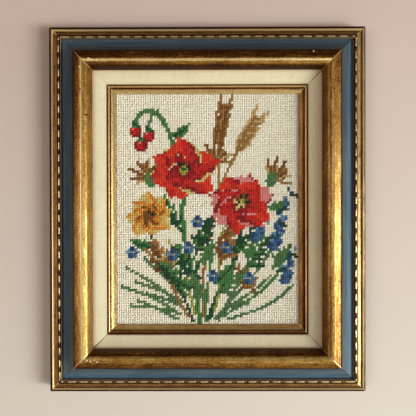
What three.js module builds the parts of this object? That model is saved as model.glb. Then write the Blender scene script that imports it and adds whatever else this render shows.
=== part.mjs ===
// Needlepoint canvas panel in a picture frame that hangs on a wall, in millimetres.
// X runs to the viewer's right, Y into the wall and Z up. The frame's flat back lies in the plane Y = 0.
// The origin is on the back of the top rail, midway along it and midway across the blue cove.

import * as THREE from 'three';

// Frame and canvas, seen from the front
const FRAME_WIDTH = 330.2;
const FRAME_HEIGHT = 381.0;
const CANVAS_WIDTH = 203.2;
const CANVAS_HEIGHT = 254.0;
const CANVAS_THICKNESS = 3.0;

// Space left between neighbouring pieces
const GAP = 0.3;

// Inset of each strip's inner edge from the frame's outer edge
const EDGE_INNER = 13.4;
const COVE_INNER = 27.2;
const ROLL_INNER = 46.8;
const LINER_INNER = 59.7;
const SLIP_INNER = 69.1;

// Inset of the wall of each rebate, where the next piece inwards is seated
const LINER_SEAT = 40.5;
const SLIP_SEAT = 55.3;
const CANVAS_SEAT = (FRAME_WIDTH - CANVAS_WIDTH) / 2;

// Heights above the wall that neighbouring pieces share
const COVE_FOOT = 13.0;
const COVE_TOP = 24.0;
const ROLL_PEAK = 34.0;
const ROLL_UNDERSIDE = 19.7;
const LINER_UNDERSIDE = 12.9;
const SLIP_UNDERSIDE = 10.3;
const LINER_BACK = 4.0;
const SLIP_BACK = 4.0;

// The sight edge of each lip is this thick
const ROLL_LIP = 1.5;
const SLIP_LIP = 1.0;

// Straight steps along each curve of a section
const CURVE_STEPS = 6;

// Insets and heights that follow from the sizes above
const EDGE_WALL = EDGE_INNER - GAP / 2;
const COVE_OUTER = EDGE_INNER + GAP / 2;
const COVE_WALL = COVE_INNER - GAP / 2;
const ROLL_OUTER = COVE_INNER + GAP / 2;
const ROLL_WALL = LINER_SEAT - GAP / 2;
const LINER_OUTER = LINER_SEAT + GAP / 2;
const SLIP_OUTER = SLIP_SEAT + GAP;
const SLIP_BEAD = LINER_INNER + GAP;
const SLIP_WALL = CANVAS_SEAT - GAP;
const LINER_FRONT = ROLL_UNDERSIDE - GAP;
const SLIP_TONGUE = LINER_UNDERSIDE - GAP;
const CANVAS_FRONT = SLIP_UNDERSIDE - GAP;
const HANG_INSET = (EDGE_INNER + COVE_INNER) / 2;

// The section of each strip of moulding, from its outer back corner up, inwards over the front and round the back.
// Each row is a corner: its inset from the frame's outer edge and its height above the wall. A row with bend
// is reached by a curve that is drawn towards that inset and height, and any other row by a straight line.
const SECTIONS = {
  // Gilt edge: rounded shoulder, thin bead, groove, sloping band, half-round ornament and a steep inner step
  edge: [
    { corner: 'outer back', inset: 0, height: 0 },
    { corner: 'side under the shoulder', inset: 0, height: 13.6 },
    { corner: 'foot of the bead', inset: 2.8, height: 17.2, bend: [0.2, 17.2] },
    { corner: 'inner foot of the bead', inset: 4.7, height: 16.8, bend: [3.75, 19.6] },
    { corner: 'groove', inset: 5.2, height: 15.8 },
    { corner: 'crest of the band', inset: 9.3, height: 17.0 },
    { corner: 'inner foot of the ornament', inset: 11.9, height: 16.6, bend: [10.6, 19.4] },
    { corner: 'foot of the step', inset: EDGE_WALL, height: COVE_FOOT },
    { corner: 'inner back', inset: EDGE_WALL, height: 0 },
  ],
  // Blue cove: hollow slope that rises inwards to the foot of the roll
  cove: [
    { corner: 'outer back', inset: COVE_OUTER, height: 0 },
    { corner: 'foot of the slope', inset: COVE_OUTER, height: COVE_FOOT },
    { corner: 'top of the slope', inset: COVE_WALL, height: COVE_TOP, bend: [21.8, 17.0] },
    { corner: 'inner back', inset: COVE_WALL, height: 0 },
  ],
  // Gold roll: rounded outer side, broad crest and a steep fall to its lip, with the liner's rebate behind it
  roll: [
    { corner: 'outer back', inset: ROLL_OUTER, height: 0 },
    { corner: 'foot of the roll', inset: ROLL_OUTER, height: COVE_TOP + 0.6 },
    { corner: 'outer side of the crest', inset: 30.6, height: 32.4, bend: [27.6, 30.2] },
    { corner: 'peak', inset: 36.0, height: ROLL_PEAK, bend: [32.6, ROLL_PEAK] },
    { corner: 'inner shoulder', inset: 42.4, height: 31.0, bend: [40.0, ROLL_PEAK] },
    { corner: 'top of the lip', inset: ROLL_INNER, height: ROLL_UNDERSIDE + ROLL_LIP, bend: [45.0, 27.6] },
    { corner: 'underside of the lip', inset: ROLL_INNER, height: ROLL_UNDERSIDE },
    { corner: 'corner of the rebate', inset: ROLL_WALL, height: ROLL_UNDERSIDE },
    { corner: 'inner back', inset: ROLL_WALL, height: 0 },
  ],
  // Linen liner: shelf under the roll's lip, gentle slope inwards and a rounded inner edge over the slip
  liner: [
    { corner: 'outer back', inset: LINER_OUTER, height: LINER_BACK },
    { corner: 'outer front', inset: LINER_OUTER, height: LINER_FRONT },
    { corner: 'under the edge of the roll', inset: ROLL_INNER, height: LINER_FRONT },
    { corner: 'start of the slope', inset: 50.2, height: 18.9, bend: [49.2, 19.3] },
    { corner: 'end of the slope', inset: 58.4, height: 16.0 },
    { corner: 'inner edge', inset: LINER_INNER, height: 14.4, bend: [LINER_INNER, 15.6] },
    { corner: 'underside of the lip', inset: LINER_INNER, height: LINER_UNDERSIDE },
    { corner: 'corner of the rebate', inset: SLIP_SEAT, height: LINER_UNDERSIDE },
    { corner: 'inner back', inset: SLIP_SEAT, height: LINER_BACK },
  ],
  // Gilt slip: tongue under the liner's lip, thin bead, valley, inner round and a thin lip over the canvas
  slip: [
    { corner: 'outer back', inset: SLIP_OUTER, height: SLIP_BACK },
    { corner: 'outer front', inset: SLIP_OUTER, height: SLIP_TONGUE },
    { corner: 'end of the tongue', inset: SLIP_BEAD, height: SLIP_TONGUE },
    { corner: 'side of the bead', inset: SLIP_BEAD, height: 14.8 },
    { corner: 'inner foot of the bead', inset: 62.4, height: 14.6, bend: [61.3, 16.8] },
    { corner: 'valley', inset: 65.2, height: 12.4 },
    { corner: 'inner round', inset: 67.4, height: 12.9, bend: [66.2, 14.0] },
    { corner: 'top of the lip', inset: SLIP_INNER, height: SLIP_UNDERSIDE + SLIP_LIP },
    { corner: 'underside of the lip', inset: SLIP_INNER, height: SLIP_UNDERSIDE },
    { corner: 'corner of the rebate', inset: SLIP_WALL, height: SLIP_UNDERSIDE },
    { corner: 'inner back', inset: SLIP_WALL, height: SLIP_BACK },
  ],
};

const MATERIALS = {
  edge: new THREE.MeshStandardMaterial({ color: 0x8a6a3c, roughness: 0.45, metalness: 0.55 }),
  cove: new THREE.MeshStandardMaterial({ color: 0x4a5c6b, roughness: 0.55, metalness: 0.0 }),
  roll: new THREE.MeshStandardMaterial({ color: 0xb08a45, roughness: 0.38, metalness: 0.7 }),
  liner: new THREE.MeshStandardMaterial({ color: 0xded2ae, roughness: 0.95, metalness: 0.0 }),
  slip: new THREE.MeshStandardMaterial({ color: 0xb58a48, roughness: 0.35, metalness: 0.7 }),
  canvas: new THREE.MeshStandardMaterial({ color: 0xd8d0b8, roughness: 1.0, metalness: 0.0 }),
};

// The four sides: the turn about Y from the top rail, the size the rail runs along and the size across the frame
const SIDES = [
  { side: 'top', turn: 0, along: FRAME_WIDTH, across: FRAME_HEIGHT },
  { side: 'right', turn: Math.PI / 2, along: FRAME_HEIGHT, across: FRAME_WIDTH },
  { side: 'bottom', turn: Math.PI, along: FRAME_WIDTH, across: FRAME_HEIGHT },
  { side: 'left', turn: -Math.PI / 2, along: FRAME_HEIGHT, across: FRAME_WIDTH },
];

// A section's rows as a closed shape whose x is the inset and y the height
function outline(rows) {
  const shape = new THREE.Shape();
  const [first, ...rest] = rows;
  shape.moveTo(first.inset, first.height);
  for (const { inset, height, bend } of rest) {
    if (bend) {
      shape.quadraticCurveTo(...bend, inset, height);
    } else {
      shape.lineTo(inset, height);
    }
  }
  shape.closePath();
  return shape;
}

// A length of moulding for the top rail, with both ends cut at 45 degrees
function mitredRail(rows, length) {
  const geometry = new THREE.ExtrudeGeometry(outline(rows), {
    depth: 1,
    steps: 1,
    bevelEnabled: false,
    curveSegments: CURVE_STEPS,
  });
  const places = geometry.getAttribute('position');
  const cutBack = (GAP / 2) * Math.SQRT2;
  for (let i = 0; i < places.count; i += 1) {
    const halfHere = length / 2 - places.getX(i) - cutBack;
    const atFarEnd = places.getZ(i) > 0;
    places.setZ(i, atFarEnd ? halfHere : -halfHere);
  }
  const inwards = new THREE.Vector3(0, 0, -1);
  const towardsViewer = new THREE.Vector3(0, -1, 0);
  const alongRail = new THREE.Vector3(-1, 0, 0);
  geometry.applyMatrix4(new THREE.Matrix4().makeBasis(inwards, towardsViewer, alongRail));
  geometry.computeVertexNormals();
  return geometry;
}

// Four mitred rails of one section, each with its outer edge at the same inset from the frame's outline
function addRails(parent, strip) {
  for (const { side, turn, along, across } of SIDES) {
    const rail = new THREE.Mesh(mitredRail(SECTIONS[strip], along), MATERIALS[strip]);
    rail.name = `${strip}_rail_${side}`;
    rail.rotation.y = turn;
    rail.position.set((Math.sin(turn) * across) / 2, 0, (Math.cos(turn) * across) / 2);
    parent.add(rail);
  }
}

// The stitched canvas, stretched flat behind the slip's lip
function addCanvas(parent) {
  const sheet = new THREE.BoxGeometry(CANVAS_WIDTH, CANVAS_THICKNESS, CANVAS_HEIGHT);
  const canvas = new THREE.Mesh(sheet, MATERIALS.canvas);
  canvas.name = 'needlepoint_canvas';
  canvas.position.y = CANVAS_THICKNESS / 2 - CANVAS_FRONT;
  parent.add(canvas);
}

const panel = new THREE.Group();
panel.position.z = HANG_INSET - FRAME_HEIGHT / 2;
for (const strip of Object.keys(SECTIONS)) {
  addRails(panel, strip);
}
addCanvas(panel);

export default panel;
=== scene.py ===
# Looks of a needlepoint panel in a stepped gilt and blue picture frame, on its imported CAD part.
# Sizes in the tables are in millimetres. Inset is measured inwards from the frame's outer edge, and height
# from the wall. Places in the design are columns and rows of stitches, from the bottom left.

import functools
import math
import random

import bmesh
import bpy
import numpy as np
from mathutils import Matrix, Vector


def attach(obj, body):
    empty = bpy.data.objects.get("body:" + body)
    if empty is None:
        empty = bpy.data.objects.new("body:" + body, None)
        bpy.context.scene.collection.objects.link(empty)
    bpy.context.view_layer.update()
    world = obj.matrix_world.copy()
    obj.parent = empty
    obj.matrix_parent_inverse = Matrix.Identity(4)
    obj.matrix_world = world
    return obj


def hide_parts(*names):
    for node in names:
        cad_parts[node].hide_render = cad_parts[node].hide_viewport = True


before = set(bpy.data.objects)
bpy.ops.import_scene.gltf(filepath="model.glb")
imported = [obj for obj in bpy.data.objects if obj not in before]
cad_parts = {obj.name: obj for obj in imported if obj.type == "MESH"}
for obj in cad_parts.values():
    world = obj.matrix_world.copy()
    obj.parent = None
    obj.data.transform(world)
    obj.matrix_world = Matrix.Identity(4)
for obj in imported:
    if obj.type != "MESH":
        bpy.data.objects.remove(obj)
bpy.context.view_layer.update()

MM = 0.001

# Sizes that the CAD part has too
FRAME_WIDTH = 330.2
FRAME_HEIGHT = 381.0
CANVAS_WIDTH = 203.2
CANVAS_HEIGHT = 254.0
GAP = 0.3
EDGE_INNER = 13.4
COVE_INNER = 27.2
ROLL_INNER = 46.8
LINER_INNER = 59.7
SLIP_INNER = 69.1
LINER_SEAT = 40.5
SLIP_SEAT = 55.3
CANVAS_SEAT = (FRAME_WIDTH - CANVAS_WIDTH) / 2
HANG_INSET = (EDGE_INNER + COVE_INNER) / 2
CENTRE_Z = HANG_INSET - FRAME_HEIGHT / 2

# Heights of the canvas, and of the stitches on it
CANVAS_BACK = 7.0
CANVAS_FRONT = 8.5
STITCH_TOP = 10.05

# The stitches that show, and one more all round that goes under the slip's lip
SHOWN_COLUMNS = 81
SHOWN_ROWS = 97
STITCH_COLUMNS = SHOWN_COLUMNS + 2
STITCH_ROWS = SHOWN_ROWS + 2
STITCH_WIDE = (FRAME_WIDTH - 2 * SLIP_INNER) / SHOWN_COLUMNS
STITCH_TALL = (FRAME_HEIGHT - 2 * SLIP_INNER) / SHOWN_ROWS

# Sections of the five strips, from the outer back corner over the front and round to the inner back corner.
# A row is a corner's name, inset and height, and for a curve the point that the curve is drawn towards.
SECTIONS = {
    "edge": [
        ("outer back", 0, 0),
        ("side under the shoulder", 0, 13.6),
        ("foot of the bead", 2.9, 17.0, (0.3, 16.9)),
        ("inner foot of the bead", 5.0, 16.6, (4.0, 19.8)),
        ("groove", 5.2, 16.2),
        ("crest of the band", 9.2, 17.1),
        ("outer side of the carved bed", 9.5, 16.6),
        ("inner side of the carved bed", 12.0, 16.2),
        ("fillet", 12.4, 16.4),
        ("foot of the step", EDGE_INNER - GAP / 2, 13.0),
        ("inner back", EDGE_INNER - GAP / 2, 0),
    ],
    "cove": [
        ("outer back", EDGE_INNER - 0.05, 0),
        ("foot of the slope", EDGE_INNER - 0.05, 13.0),
        ("top of the slope", COVE_INNER - GAP / 2, 24.0, (21.8, 17.0)),
        ("inner back", COVE_INNER - GAP / 2, 0),
    ],
    "roll": [
        ("outer back", COVE_INNER + GAP / 2, 0),
        ("foot of the roll", COVE_INNER + GAP / 2, 24.6),
        ("outer shoulder", 31.0, 32.1, (27.9, 31.1)),
        ("outer side of the crest", 36.4, 33.75),
        ("peak", 38.2, 34.0, (37.2, 34.0)),
        ("inner shoulder", 43.2, 31.5, (40.6, 33.6)),
        ("top of the lip", ROLL_INNER, 21.2, (45.9, 28.0)),
        ("underside of the lip", ROLL_INNER, 19.7),
        ("corner of the rebate", LINER_SEAT - GAP / 2, 19.7),
        ("inner back", LINER_SEAT - GAP / 2, 0),
    ],
    "liner": [
        ("outer back", LINER_SEAT + GAP / 2, 4.0),
        ("outer front", LINER_SEAT + GAP / 2, 19.4),
        ("under the edge of the roll", ROLL_INNER, 19.4),
        ("start of the slope", 50.2, 18.9, (49.2, 19.3)),
        ("end of the slope", 58.4, 16.0),
        ("inner edge", LINER_INNER, 14.4, (LINER_INNER, 15.6)),
        ("underside of the lip", LINER_INNER, 12.9),
        ("corner of the rebate", SLIP_SEAT, 12.9),
        ("inner back", SLIP_SEAT, 4.0),
    ],
    "slip": [
        ("outer back", SLIP_SEAT + GAP, 4.0),
        ("outer front", SLIP_SEAT + GAP, 12.6),
        ("end of the tongue", LINER_INNER + GAP, 12.6),
        ("side of the tongue", LINER_INNER + GAP, 13.7),
        ("foot of the bead", 60.9, 13.8),
        ("inner foot of the bead", 63.6, 13.8, (62.2, 17.0)),
        ("groove", 64.0, 13.2),
        ("crest of the fall", 64.4, 14.1),
        ("foot of the fall", 66.0, 12.7, (65.2, 13.4)),
        ("inner round", 68.7, 11.75, (67.0, 12.3)),
        ("top of the lip", SLIP_INNER, 11.2, (69.1, 11.7)),
        ("underside of the lip", SLIP_INNER, 10.3),
        ("corner of the rebate", CANVAS_SEAT - GAP, 10.3),
        ("inner back", CANVAS_SEAT - GAP, 4.0),
    ],
}

# Rows that are reached over bare wood, as is the back of every strip
BARE_ROWS = {"inner back", "corner of the rebate", "underside of the lip", "foot of the slope"}
CLOTH_STRIP = "liner"

# Each side of the frame: the corners that its rail starts and ends at, and its directions along and inwards
SIDES = {
    "top": ("top left", "top right", Vector((1, 0, 0)), Vector((0, 0, -1))),
    "right": ("top right", "bottom right", Vector((0, 0, -1)), Vector((-1, 0, 0))),
    "bottom": ("bottom right", "bottom left", Vector((-1, 0, 0)), Vector((0, 0, 1))),
    "left": ("bottom left", "top left", Vector((0, 0, 1)), Vector((1, 0, 0))),
}
FRONT = Vector((0, -1, 0))

# How far each cut end stands back from the mitre line, and how much more outside where a mitre has opened
SHUT_MITRE = 0.1
OPEN_MITRES = {
    ("liner", "top right"): 2.2,
    ("liner", "bottom left"): 1.6,
    ("liner", "bottom right"): 0.5,
    ("edge", "bottom right"): 0.3,
    ("roll", "top right"): 0.2,
    ("slip", "bottom left"): 0.2,
}

# Painted light and shade on the rails: how much lighter or darker each rail is than its finish, for how the
# light falls on its side and along it. A row is an inset and the change all along there, or the changes at
# the start and the end, or those at the start, in the middle and at the end.
PAINTED_LIGHT_BY_SIDE = {
    ("edge", "left"): [
        (1.8, 0), (2.2, 0.6), (4, -0.1), (5.3, 0.4, 0.3), (7, 0.05), (12.1, -0.2), (12.6, 0.8),
    ],
    ("edge", "top"): [
        (3, -1), (3.9, -0.4), (4.3, 0.3), (5, 0.5), (6, -0.05), (9.4, 0), (9.8, 0.25), (11.8, 0.25),
    ],
    ("edge", "right"): [
        (1.5, 0), (2, 0.92, 0.85, 0.53), (3.4, 0.75, 0.75, 0.43), (3.9, -0.7), (4.9, -0.4), (5.3, 0.6),
        (6.2, 0.8, 0.6), (7, 0.05, 0, -0.2), (8.2, -0.15, -0.2, -0.3), (9.3, 0.8, 0.8, 0.6),
        (10, -0.1, -0.2), (11, -0.25, -0.3), (11.5, -0.8), (12.9, 0),
    ],
    ("edge", "bottom"): [
        (2.2, 0), (2.8, 0.8), (4, 0), (5.3, 0.15), (6.2, 0.3), (8, 0), (9.8, 0.2), (11.6, 0.2), (12, -0.1),
        (12.6, 0.8),
    ],
    ("cove", "left"): [(15, 0.0, -0.05), (20, -0.25, -0.2)],
    ("cove", "top"): [(15, -0.3, -0.35), (20, -0.45, -0.5), (25, -0.35)],
    ("cove", "right"): [(15, -0.35, 0.2), (20, -0.5, 0.0), (25, -0.5, 0.2)],
    ("cove", "bottom"): [(15, -0.15, -0.1), (20, -0.2)],
    ("roll", "left"): [
        (31, 0, 0.1, -0.4), (33, -0.25, -0.1, -0.4), (35, -0.05, 0.1, -0.45), (36, -0.2, -0.1, -0.5),
        (37.2, -0.5, -0.3, -0.45), (38.2, 0.1, 0.25, -0.05), (39.5, -0.4, -0.2, -0.45),
        (41, -0.6, -0.4, -0.65), (42.2, -0.55, -0.35, -0.6), (43.2, 0.05, 0.15, -0.2), (45, 0, 0.1, -0.2),
    ],
    ("roll", "top"): [
        (33, -0.3), (35, -0.4), (36.5, -0.7, -0.65), (38, -0.7), (39, -0.05, -0.1), (40.2, 0.05),
        (41, -0.4, -0.3), (42, -0.8, -0.55), (43, -0.4, 0), (45, -0.5, -0.4),
    ],
    ("roll", "right"): [
        (29, -0.3, -0.2, -0.3), (31, -0.05, 0.3, -0.05), (33, -0.25, 0.35, -0.2), (34.5, -0.35, 0.2, -0.3),
        (37.5, -0.6, -0.35, -0.55), (38.5, -0.3, -0.05, -0.2), (40.3, -0.65, -0.5, -0.65),
        (41.4, -0.75, -0.55, -0.8), (43, -0.15, 0.05, -0.2), (44, -0.2, -0.15),
    ],
    ("roll", "bottom"): [
        (33, 0, -0.15), (35, -0.2, -0.25), (38.2, -0.4, -0.5), (39.5, -0.2, -0.25), (41, -0.3), (42, -0.6),
        (43, -0.6), (44, -0.3),
    ],
    ("slip", "left"): [(62, -0.2, -0.15), (64, 0.25), (67, -0.3, 0.15)],
    ("slip", "top"): [(62, 0.05, 0.3), (64, -0.4, -0.2), (67, 0.2)],
    ("slip", "right"): [(62, 0.3, -0.3), (67, -0.35, -0.45)],
    ("slip", "bottom"): [(62, -0.8), (64, 0.4), (67, -0.25, -0.05)],
}

# Fine drawing of the sections and rails: a flat longer than LONG_FLAT gets a point FLAT_END from each end
CURVE_STEPS = 10
CORNER_ROUND = 0.28
LONG_FLAT = 2.0
FLAT_END = 0.63
SMOOTH_TURN = math.radians(18)
SHARP_EDGE = math.radians(38)
RAIL_STATIONS = 34

# How far along and across the patterns of a finish move on from one rail to the next
PATTERN_SHIFT = (700.0, 13.0)

# Carved row on the edge strip: its insets and bed, how wide and tall it stands, and how long a repeat is
CARVED_INSETS = {"top": 10.95, "right": 10.55, "bottom": 10.75, "left": 10.4}
CARVED_BED = 16.3
CARVED_BED_INSETS = (9.6, 12.1)
CARVED_AROUND = 12.0
CARVED_WIDE = 1.65
CARVED_TALL = 0.95
CARVED_REPEAT = 12.8
CARVED_END = 3.4
CARVED_TILT = 0.12

# Each repeat has a bar and three small beads, and the row a knob at each end. Middles are shares of a repeat,
# as is half a bar's length, and shine is how much gold is left.
BAR_MIDDLE = -0.22
BAR_HALF = 0.295
BEADS = 3
BEAD_FIRST = 0.137
BEAD_STEP = 0.143
BEAD_HALF = 0.45
BEAD_WIDE = 0.65
BEAD_SHINE = 0.35
KNOB_PAST = 1.1
KNOB_HALF = 1.2
KNOB_SHINE = 0.8

# A stitch: rings along the yarn, its length, thickness and slant, and how it rises out of the canvas
STITCH_RINGS = (-1.0, -0.66, 0.0, 0.66, 1.0)
STITCH_SIDES = 6
STITCH_LONG = 2.85
STITCH_THICK = 1.72
STITCH_SLANT = math.radians(52)
STITCH_FOOT = 8.3
STITCH_ARCH = 1.0
MOST_STITCHES = 3000

# How unevenly stitches lie: in millimetres and radians, and length, width and lift as shares of their size
UNEVEN_MIDDLE = 0.1
UNEVEN_SLANT = math.radians(6)
UNEVEN_LENGTH = 0.06
UNEVEN_WIDTH = 0.1
UNEVEN_LIFT = 0.14
UNEVEN_BOW = 0.06
UNEVEN_TONE = 0.2

# Wool colours, each as its light and dark tone on screen
YARNS = {
    "cream": ((255, 254, 243), (250, 238, 213)),
    "red": ((236, 52, 34), (190, 24, 22)),
    "scarlet": ((250, 80, 46), (220, 44, 28)),
    "crimson": ((186, 24, 40), (136, 8, 26)),
    "pink": ((242, 168, 160), (220, 126, 124)),
    "butter": ((242, 226, 156), (212, 190, 116)),
    "ebony": ((62, 42, 32), (26, 16, 14)),
    "green": ((98, 156, 86), (54, 112, 58)),
    "forest": ((40, 98, 60), (16, 56, 36)),
    "moss": ((112, 150, 94), (66, 106, 66)),
    "lime": ((190, 190, 84), (146, 146, 52)),
    "tan": ((192, 146, 82), (148, 98, 46)),
    "umber": ((160, 102, 46), (112, 64, 24)),
    "straw": ((226, 198, 138), (188, 154, 96)),
    "blue": ((56, 100, 148), (26, 58, 104)),
    "azure": ((92, 138, 178), (56, 98, 142)),
    "sky": ((134, 170, 198), (92, 134, 172)),
    "orange": ((240, 158, 52), (206, 116, 24)),
    "gold": ((246, 204, 108), (220, 164, 62)),
}

# Points along each stalk, ray or blade
STEM_STEPS = 160

# The design: grass and stalks as the points that their curves are drawn towards, stalks with yarn and width
GRASS_BLADES = [
    ((30, 8), (22, 17), (5, 25)),
    ((31, 10), (24, 15), (9, 19)),
    ((29, 5), (19, 13), (3, 17)),
    ((31, 12), (25, 20), (13, 29)),
    ((28, 3), (20, 8), (10, 11)),
    ((27, 6), (18, 9), (7, 9)),
    ((29, 9), (23, 12), (14, 14)),
    ((32, 13), (28, 19), (20, 23)),
]
STALKS = [
    ("green", 2, [(38, 1), (37, 18), (28, 38), (31, 56)]),
    ("forest", 2, [(42, 3), (46, 18), (58, 28), (56, 46)]),
    ("moss", 1, [(46, 2), (54, 18), (68, 22), (72, 40)]),
    ("green", 1, [(48, 4), (60, 12), (72, 16), (76, 30)]),
    ("forest", 1, [(35, 2), (30, 20), (18, 26), (16, 42)]),
    ("tan", 1, [(40, 4), (36, 30), (50, 52), (46, 78)]),
    ("lime", 1, [(44, 6), (50, 20), (44, 30), (49, 42)]),
    ("moss", 1, [(50, 3), (60, 6), (70, 8), (79, 17)]),
    ("lime", 1, [(36, 5), (32, 16), (34, 26), (24, 36)]),
    ("tan", 1, [(33, 4), (26, 14), (24, 26), (12, 34)]),
    ("moss", 1, [(44, 3), (52, 10), (62, 14), (69, 21)]),
    ("green", 1, [(41, 2), (40, 14), (44, 24), (43, 36)]),
    ("moss", 1, [(47, 5), (52, 12), (55, 20), (64, 30)]),
]

# Cut leaves: foot, tip, pairs of leaflets, the longest leaflet and the yarns
FERNS = [
    ((26, 20), (17, 36), 6, 8.0, ("umber", "tan", "straw")),
    ((47, 26), (52, 41), 6, 8.5, ("umber", "tan", "umber")),
    ((63, 14), (55, 25), 5, 6.0, ("umber", "tan", "tan")),
    ((31, 18), (20, 27), 6, 6.0, ("forest", "green", "forest")),
    ((38, 20), (27, 34), 6, 7.5, ("forest", "green", "forest")),
    ((36, 30), (43, 45), 6, 7.0, ("forest", "forest", "green")),
    ((45, 14), (58, 22), 5, 6.5, ("green", "moss", "green")),
    ((58, 24), (68, 37), 6, 7.5, ("green", "forest", "green")),
    ((52, 32), (66, 40), 5, 6.5, ("forest", "green", "forest")),
    ((30, 40), (22, 55), 5, 5.5, ("forest", "green", "forest")),
    ((70, 24), (78, 34), 5, 5.0, ("moss", "green", "moss")),
    ((41, 10), (34, 22), 5, 5.5, ("moss", "moss", "green")),
]

# Broad leaves: root, tip, half width, yarn, vein and bow
LEAVES = [
    ((37, 16), (25, 22), 2.2, "green", "forest", 1.0),
    ((44, 18), (54, 28), 2.6, "green", "forest", -1.0),
    ((39, 26), (46, 36), 2.3, "moss", "green", 0.8),
    ((17, 34), (7, 37), 2.0, "green", "forest", 0.8),
    ((68, 50), (77, 53), 2.0, "green", "moss", -0.8),
    ((50, 8), (61, 10), 1.6, "moss", None, 0.8),
    ((26, 80), (34, 86), 2.0, "green", "forest", -0.8),
]
SEED_HEADS = [(44, 69, 62), (16, 62, 128), (70, 62, 50)]
BERRIES = [(9.5, 82.5), (15.5, 80.5), (12, 76.5)]
BLUE_SPIKES = [((71, 34), (78, 58), 13), ((76, 20), (79, 33), 7), ((63, 38), (68, 47), 5)]
YELLOW_FLOWER = (16, 47)
RED_FLOWER = (31, 66)
RED_CUP = (56, 52)
BLUE_FLOWERS = [(33, 33), (60, 20), (26, 30), (44, 21), (50, 33), (8, 31), (37, 44)]


def linear(red, green, blue):
    """A colour given as it looks on screen, from 0 to 255, in Blender's linear values."""
    values = []
    for part in (red, green, blue):
        share = part / 255
        values.append(share / 12.92 if share <= 0.04045 else ((share + 0.055) / 1.055) ** 2.4)
    return (*values, 1.0)


class Value:
    """A number, vector or colour that a node of a surface gives. Sums, products and ramps of it add nodes."""

    def __init__(self, surface, socket):
        self.surface = surface
        self.socket = socket

    def __add__(self, other):
        return self.surface.math("ADD", self, other)

    def __mul__(self, other):
        return self.surface.math("MULTIPLY", self, other)

    def __rsub__(self, other):
        return self.surface.math("SUBTRACT", other, self)

    def most(self, other):
        return self.surface.math("MAXIMUM", self, other)

    def floor(self):
        return self.surface.math("FLOOR", self)

    def size(self):
        return self.surface.math("ABSOLUTE", self)

    def above(self, other):
        """1 where this number is above the other, and 0 elsewhere."""
        return self.surface.math("GREATER_THAN", self, other)

    def ridges(self):
        """Round ridges, one from each whole number to the next."""
        return self.surface.math("SINE", self * math.pi).size()

    def ramp(self, low, high, start=0.0, end=1.0):
        """A number that goes from start to end as this one goes from low to high."""
        inputs = {"Value": self, "From Min": low, "From Max": high, "To Min": start, "To Max": end}
        return self.surface.add("MapRange", inputs)


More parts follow.
